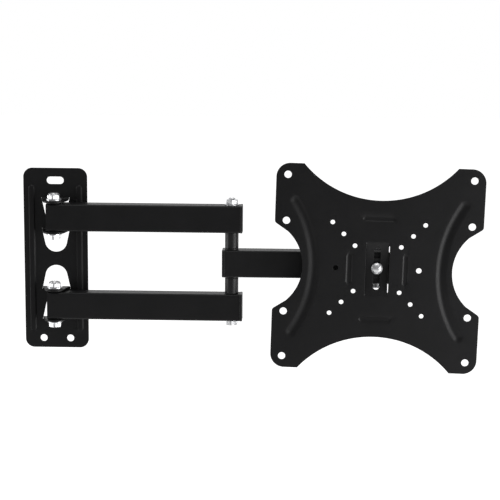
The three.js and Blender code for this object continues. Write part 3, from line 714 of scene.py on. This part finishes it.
def on_head(piece):
    """Moves a piece from the clamping bolt's axis to the head, with its roll"""
    points, faces = piece
    turn = math.radians(HEAD_ROLL)
    x, y, z = np.asarray(points).T
    return np.stack([
        SWIVEL_X + x * math.cos(turn) + z * math.sin(turn),
        PLATE_Y + y,
        HEAD_RISE - x * math.sin(turn) + z * math.cos(turn),
    ], 1), faces


def dome_profile():
    rim, height = 6.3, 3.3
    radius = (rim ** 2 + height ** 2) / (2 * height)
    reach = math.asin(rim / radius)
    angles = np.linspace(0.02, reach * 0.985, 16)
    curve = [(radius * math.sin(a), DOME_SEAT - height + radius * (1 - math.cos(a))) for a in angles]
    return curve + [(rim - 0.03, DOME_SEAT - 0.25), (rim - 0.1, DOME_SEAT)]


def saddle_place(x, z, depth):
    """Curves the saddle's front to fit the strap, and leaves its back flat"""
    front = STRAP_CENTRE + np.sqrt(SADDLE_RADIUS ** 2 - z ** 2)
    return np.stack([x, front + depth / SADDLE_SHEET * (SADDLE_BACK - front), z], 1)


shank = [(3.2, DOME_SEAT), (3, 5.8), (3, 12)]
smooth_part = [ring_at(radius, height) for radius, height in dome_profile() + shank]
tilt_bolt = stacked(smooth_part + thread_rings(M6, M6_PITCH, low=12.5, high=18, chamfer=0.6))
tilt_washer = collar_piece(outer=14, bore=M6_HOLE, low=12.1, high=13.3)
tilt_nut = nut_piece(M6, M6_FLATS, low=13.6, high=17.2)
add("tilt_bolt", on_head(laid_back(tilt_bolt)), "zinc", "tilt_clamp")
add("tilt_washer", on_head(laid_back(tilt_washer)), "zinc", "tilt_clamp")
add("tilt_nut", on_head(laid_back(tilt_nut)), "zinc", "tilt_clamp", FASTENER_CREASE)

saddle_outline = spaced(rounded_oblong(width=20, height=22, corner=2), 1.5)
saddle = sheet(saddle_outline, [circle(0, 0, M6_HOLE)], SADDLE_SHEET, saddle_place, coarse=2)
add("tilt_saddle", on_head(saddle), "black_paint", "tilt_clamp")


# Television plate. A quarter of its outline is half of the top's shallow arc, a rounded corner, a lug
# and half of the side's waist

PLATE_HALF = 112.5
PLATE_CORNER = 15
TOP_RADIUS = 110
TOP_LOWEST = 75
WAIST_RADIUS = 51.5
WAIST_NEAREST = 81
WAIST_HALF = 38
LUG_HEIGHT = 47.8
LUG_EASE = 2.5

# Widths of the holes, then the strap's sides, slits and slot. The slits lie between the strap and
# the edges of a window
BIG_HOLE = 8
SMALL_HOLE = 5
SIDE_HOLE, SIDE_HOLE_X = 6, 45
STRAP_LEFT = 12.65
STRAP_RIGHT = 11.95
WINDOW_EDGE = 12.75
SLIT_REACH = 25.5
SLOT_MIDDLE, SLOT_LENGTH, SLOT_WIDTH = -0.3, 46.3, 7

# The strap runs out softly into the plate. From this far above and below its middle the softness
# fades away, so that the plate beyond stays flat
STRAP_FADE_FROM = 25
STRAP_FADE = 8
STRAP_SOFTNESS = 0.5
STRAP_LIMIT = 40

# Half width of the fine grid on the strap
STRAP_GRID = 13

# Long beads, curved and leaning outwards to their ends: their crests' place, radius and half height,
# then the width of their inner and outer flanks and their depth
LONG_CREST = 68.6
LONG_RADIUS = 131
LONG_HALF = 78
LONG_INNER, LONG_OUTER = 6.3, 7.6
LONG_DEPTH = 1.8

# Short straight beads: length, half width, share of it that lies level, depth, and their places
SHORT_LENGTH = 36
SHORT_SIDE = 3.5
SHORT_FLAT = 0.55
SHORT_DEPTH = 1.1
SIDE_BEAD_X = 30.4
CROSS_BEAD_Z = 55.5


def bead_depth(across, along, length, inner, outer, flat, depth):
    """Depth of a bead with round ends. flat is the share of each side that lies level in its middle"""
    side = np.where(across < 0, inner, outer)
    end = (inner + outer) / 2
    beyond = np.maximum(np.abs(along) - (length / 2 - end), 0)
    reach = np.clip((np.hypot(across / side, beyond / end) - flat) / (1 - flat), 0, 1)
    return depth * (1 + np.cos(reach * math.pi)) / 2


def long_bead(x, z):
    """Depth of the tall curved bead at the right or left"""
    side = LONG_CREST + LONG_RADIUS - np.abs(x)
    along = np.arctan2(z, side) * LONG_RADIUS
    length = 2 * LONG_RADIUS * math.asin(LONG_HALF / LONG_RADIUS)
    across = LONG_RADIUS - np.hypot(side, z)
    return bead_depth(across, along, length, LONG_INNER, LONG_OUTER, 0, LONG_DEPTH)


def short_bead(across, along):
    return bead_depth(across, along, SHORT_LENGTH, SHORT_SIDE, SHORT_SIDE, SHORT_FLAT, SHORT_DEPTH)


def beads(x, z):
    side = short_bead(np.abs(x) - SIDE_BEAD_X, z)
    cross = short_bead(np.abs(z) - CROSS_BEAD_Z, x)
    return long_bead(x, z) + side + cross


def strap_depth(x, z):
    """Depth of the strap, which swells backwards and runs out smoothly into the plate"""
    bulge = STRAP_CENTRE + np.sqrt(STRAP_RADIUS ** 2 - np.clip(z, -STRAP_LIMIT, STRAP_LIMIT) ** 2)
    smooth = (bulge + np.sqrt(bulge ** 2 + STRAP_SOFTNESS ** 2)) / 2
    fade = np.clip((np.abs(z) - STRAP_FADE_FROM) / STRAP_FADE, 0, 1)
    depth = smooth * (1 - fade) + np.maximum(bulge, 0) * fade
    between = (x > -(STRAP_LEFT + WINDOW_EDGE) / 2) & (x < (STRAP_RIGHT + WINDOW_EDGE) / 2)
    return np.where(between, depth, 0)


def plate_place(x, z, depth):
    return np.stack([x, beads(x, z) + strap_depth(x, z) + depth, z], 1)


def quarter_outline():
    """From the middle of the top round to the middle of the right side"""
    top_centre = TOP_LOWEST + TOP_RADIUS
    top_angle = math.degrees(math.acos((top_centre - PLATE_HALF) / TOP_RADIUS))
    side_centre = WAIST_NEAREST + WAIST_RADIUS
    side_angle = math.degrees(math.asin(WAIST_HALF / WAIST_RADIUS))
    corner_middle = PLATE_HALF - PLATE_CORNER
    top = arc(0, top_centre, TOP_RADIUS, -90, -90 + top_angle, 64)
    corner = arc(corner_middle, corner_middle, PLATE_CORNER, 90, 0, 14)
    side = arc(side_centre, 0, WAIST_RADIUS, 180 - side_angle, 180, 40)
    lug = np.array([PLATE_HALF, LUG_HEIGHT])
    towards = side[0] - lug
    start, end = lug + (0, LUG_EASE), lug + towards / np.linalg.norm(towards) * LUG_EASE
    shares = np.linspace(0, 1, 9)[:, None]
    bend = (1 - shares) ** 2 * start + 2 * shares * (1 - shares) * lug + shares ** 2 * end
    return np.concatenate([top, corner, bend, side])


def plate_outline():
    quarter = quarter_outline()
    inner = quarter[1:-1][::-1]
    return spaced(np.concatenate([quarter, inner * (1, -1), quarter * (-1, -1), inner * (-1, 1)]), 1.6)


def pattern(width, height, hole):
    return [circle(x * width / 2, y * height / 2, hole) for x in (-1, 1) for y in (-1, 1)]


def side_slit(low, high):
    corners = [(low, -SLIT_REACH), (high, -SLIT_REACH), (high, SLIT_REACH), (low, SLIT_REACH)]
    return spaced(np.array(corners), 0.9)


def near_forming(x, z):
    strap = (np.abs(x) < STRAP_GRID) & (np.abs(z) < STRAP_FADE_FROM + STRAP_FADE)
    return (beads(x, z) > FORMED) | strap


plate_holes = [
    *pattern(200, 200, BIG_HOLE), *pattern(200, 100, BIG_HOLE),
    *pattern(100, 100, SMALL_HOLE), *pattern(75, 75, SMALL_HOLE), *pattern(50, 50, SMALL_HOLE),
    circle(-SIDE_HOLE_X, 0, SIDE_HOLE), circle(SIDE_HOLE_X, 0, SIDE_HOLE),
    side_slit(-WINDOW_EDGE, -STRAP_LEFT), side_slit(STRAP_RIGHT, WINDOW_EDGE),
    slot_outline(SLOT_MIDDLE, 0, SLOT_LENGTH, SLOT_WIDTH, upright=True),
]
plate = sheet(plate_outline(), plate_holes, SHEET, plate_place, near_forming, fine=1.1)
add("tv_plate", on_head(plate), "black_paint", "tv_plate")


# Wall plate, drawn flat with its four tongues slit free, which are then bent forward

EAR_TOPS = (ARM_Z + EAR_FACE + BEND_OUTER, ARM_Z - EAR_FACE + BEND)

# Along a tongue from its root: the middle of its round end, and its pin
CENTRE_DROP = 11.1603 + BEND_LENGTH
PIN_DROP = -BEND_OUTER - PIN_Y + BEND_LENGTH

# Width at the root and radius of the round end: the tongue itself, the outer side of the slit round
# it, and the middle of that slit
TONGUE = (31, 12)
SLIT_OUTER = (31.6, 12.3)
SLIT_LINE = (31.3, 12.15)

# Drops from a tongue's root between which its grid is fine
BENDS_FROM, BENDS_TO = -0.5, 5

WALL_WIDTH = 71
WALL_HEIGHT = 203
WALL_CORNER = 10
LEVEL_SLOT_Z, LEVEL_SLOT_LENGTH, LEVEL_SLOT_WIDTH = 87.7, 19, 8.3
SCREW_X, SCREW_Z, SCREW_HOLE = 15, -90.8, 8

WALL_BEAD_X = 26.4
WALL_BEAD_LENGTH = 166
WALL_BEAD_SIDE = 3.8
WALL_BEAD_FLAT = 0.62
WALL_BEAD_DEPTH = 1.6


def tongue_outline(root, radius):
    """A tongue's sides and round end, from its root on the right to its root on the left, as x and drop"""
    distance = math.hypot(root / 2, CENTRE_DROP)
    tangent = math.degrees(math.atan2(CENTRE_DROP, root / 2) - math.acos(radius / distance))
    round_end = arc(0, CENTRE_DROP, radius, -tangent, 90, 24)
    right = np.concatenate([[(root / 2, 0)], round_end])
    return np.concatenate([right, right[:-1][::-1] * (-1, 1)])


def slit(top, up):
    """The cut round one tongue. up is 1 where the tongue hangs below its bend and -1 where it
    stands above"""
    cut = np.concatenate([tongue_outline(*SLIT_OUTER), tongue_outline(*TONGUE)[::-1]])
    return spaced(cut, 0.6) * (1, -up) + (0, up * top)


def wall_beads(x, z):
    across = np.abs(x) - WALL_BEAD_X
    return bead_depth(across, z, WALL_BEAD_LENGTH, WALL_BEAD_SIDE, WALL_BEAD_SIDE,
                      WALL_BEAD_FLAT, WALL_BEAD_DEPTH)


def bend_ears(x, z, depth):
    """Stands the flat plate off the wall, and turns each tongue forward about its bend"""
    y = -SHEET + depth - wall_beads(x, z)
    height = z.copy()
    flat = np.stack([x, z], 1)
    for up in (1, -1):
        for top in EAR_TOPS:
            edge = tongue_outline(*SLIT_LINE) * (1, -up) + (0, up * top)
            tongue = inside(flat, [edge])
            drop = up * (up * top - z)
            angle = np.clip(drop / BEND_LENGTH, 0, 1) * math.pi / 2
            beyond = np.maximum(drop - BEND_LENGTH, 0)
            radius = BEND + depth
            y = np.where(tongue, -BEND_OUTER + radius * np.cos(angle) - beyond, y)
            height = np.where(tongue, up * (top - radius * np.sin(angle)), height)
    return np.stack([x, y, height], 1)


def near_bends(x, z):
    bent = np.zeros(len(x), bool)
    for top in EAR_TOPS:
        drop = top - np.abs(z)
        bent |= (np.abs(x) < TONGUE[0] / 2) & (drop > BENDS_FROM) & (drop < BENDS_TO)
    return bent | (wall_beads(x, z) > FORMED)


wall_outline = spaced(rounded_oblong(WALL_WIDTH, WALL_HEIGHT, WALL_CORNER, steps=16), 1.6)
wall_holes = [slot_outline(0, LEVEL_SLOT_Z, LEVEL_SLOT_LENGTH, LEVEL_SLOT_WIDTH),
              circle(-SCREW_X, SCREW_Z, SCREW_HOLE), circle(SCREW_X, SCREW_Z, SCREW_HOLE)]
for up in (1, -1):
    for top in EAR_TOPS:
        wall_holes += [slit(top, up), circle(0, up * (top - PIN_DROP), M8_HOLE)]
wall = sheet(wall_outline, wall_holes, SHEET, bend_ears, near_bends, fine=0.8, coarse=3.5)
add("wall_plate", wall, "black_paint", "wall")


# The photograph's camera

def turn_z(a):
    return np.array([[math.cos(a), -math.sin(a), 0], [math.sin(a), math.cos(a), 0], [0, 0, 1]])


def turn_x(a):
    return np.array([[1, 0, 0], [0, math.cos(a), -math.sin(a)], [0, math.sin(a), math.cos(a)]])


def turn_y(a):
    return np.array([[math.cos(a), 0, math.sin(a)], [0, 1, 0], [-math.sin(a), 0, math.cos(a)]])


def stand_camera():
    tilt = turn_y(math.radians(CAMERA_ROLL)) @ turn_x(math.radians(CAMERA_HEIGHT))
    right, forward, up = tilt @ turn_z(math.radians(CAMERA_TURN))
    data = bpy.data.cameras.new("camera")
    data.sensor_width = SENSOR
    data.lens = SENSOR * FOCAL_SHARE
    data.clip_end = CAMERA_CLIP_METRES
    camera = new_object("camera", data)
    basis = np.eye(4)
    basis[:3, :3] = np.stack([right, up, -forward], 1)
    basis[:3, 3] = (np.array(CAMERA_TARGET) - CAMERA_DISTANCE * forward) * MM
    camera.matrix_world = Matrix(basis.tolist())
    bpy.context.scene.camera = camera


stand_camera()


# Floor, world and lamps

FLOOR_HEIGHT = -420
FLOOR_REACH = 6000

# The floor's own light, as the camera sees it and as glossy rays do. The second rises over a span
# along Y, in metres
FLOOR_GLOW = 0.85
GLOSSY_GLOW = 0.6
GLOSSY_SPAN = (-1.3, -0.4)

# The room's light, from its dark side to its bright one, over a span of the direction's part along Y
ROOM_DARK = 0.18
ROOM_SPAN = (0.35, 0.8)


def floor_material():
    """White to the camera, though it throws little light upwards. Glossy rays see it glow near the
    object"""
    made, nodes, links = new_material("pale_floor")
    nodes.remove(nodes["Principled BSDF"])
    seen = ray_is(nodes, links, "Is Camera Ray", "Is Transmission Ray")
    paper = noise(nodes, links, 40, 3)
    pale = tint(nodes, links, paper, grey(0.86), grey(0.9))
    diffuse = nodes.new("ShaderNodeBsdfDiffuse")
    links.new(tint(nodes, links, seen, grey(0.4), pale), diffuse.inputs["Color"])
    place = nodes.new("ShaderNodeNewGeometry").outputs["Position"]
    near = mapped(nodes, links, part_along_y(nodes, links, place), GLOSSY_SPAN, 0, GLOSSY_GLOW)
    glossy = combined(nodes, links, "MULTIPLY", ray_is(nodes, links, "Is Glossy Ray"), near)
    glow = nodes.new("ShaderNodeEmission")
    strength = combined(nodes, links, "MULTIPLY_ADD", seen, FLOOR_GLOW, glossy)
    links.new(strength, glow.inputs["Strength"])
    both = nodes.new("ShaderNodeAddShader")
    links.new(diffuse.outputs[0], both.inputs[0])
    links.new(glow.outputs[0], both.inputs[1])
    links.new(both.outputs[0], nodes["Material Output"].inputs["Surface"])
    return made


def lay_floor():
    corners = [(x * FLOOR_REACH, y * FLOOR_REACH, FLOOR_HEIGHT)
               for x, y in ((-1, -1), (1, -1), (1, 1), (-1, 1))]
    mesh = new_mesh("floor", corners, [(0, 1, 2, 3)])
    mesh.materials.append(floor_material())
    new_object("floor", mesh)


def light_world():
    """White to the camera. Metal and gloss see a white room with a darker side in front of the object"""
    world = bpy.data.worlds.new("studio")
    bpy.context.scene.world = world
    world.use_nodes = True
    nodes, links = world.node_tree.nodes, world.node_tree.links
    direction = nodes.new("ShaderNodeTexCoord").outputs["Generated"]
    rise = mapped(nodes, links, part_along_y(nodes, links, direction), ROOM_SPAN, ROOM_DARK, 1)
    strength = combined(nodes, links, "MAXIMUM", ray_is(nodes, links, "Is Camera Ray"), rise)
    back = nodes["Background"]
    back.inputs["Color"].default_value = grey(1)
    links.new(strength, back.inputs["Strength"])


def lamp(name, place, target, width, height, power):
    data = bpy.data.lights.new(name, "AREA")
    data.shape = "RECTANGLE"
    data.size = width * MM
    data.size_y = height * MM
    data.energy = power
    made = new_object(name, data)
    made.location = Vector(place) * MM
    made.rotation_euler = (Vector(target) - Vector(place)).to_track_quat("-Z", "Y").to_euler()


lay_floor()
light_world()
middle, head = (200, -40, 0), (360, -50, 0)

# Each lamp's name, place and target, its width and height, and its power in watts
for panel in (
    ("right_panel", (1050, -330, -80), middle, 400, 900, 5),
    ("left_panel", (-1100, -150, 0), middle, 600, 1300, 6),
    ("top_panel", (200, -400, 1400), middle, 1600, 900, 7),
    ("front_panel", (1350, -1150, -160), head, 700, 420, 3),
):
    lamp(*panel)

bpy.context.scene.view_settings.view_transform = "Standard"
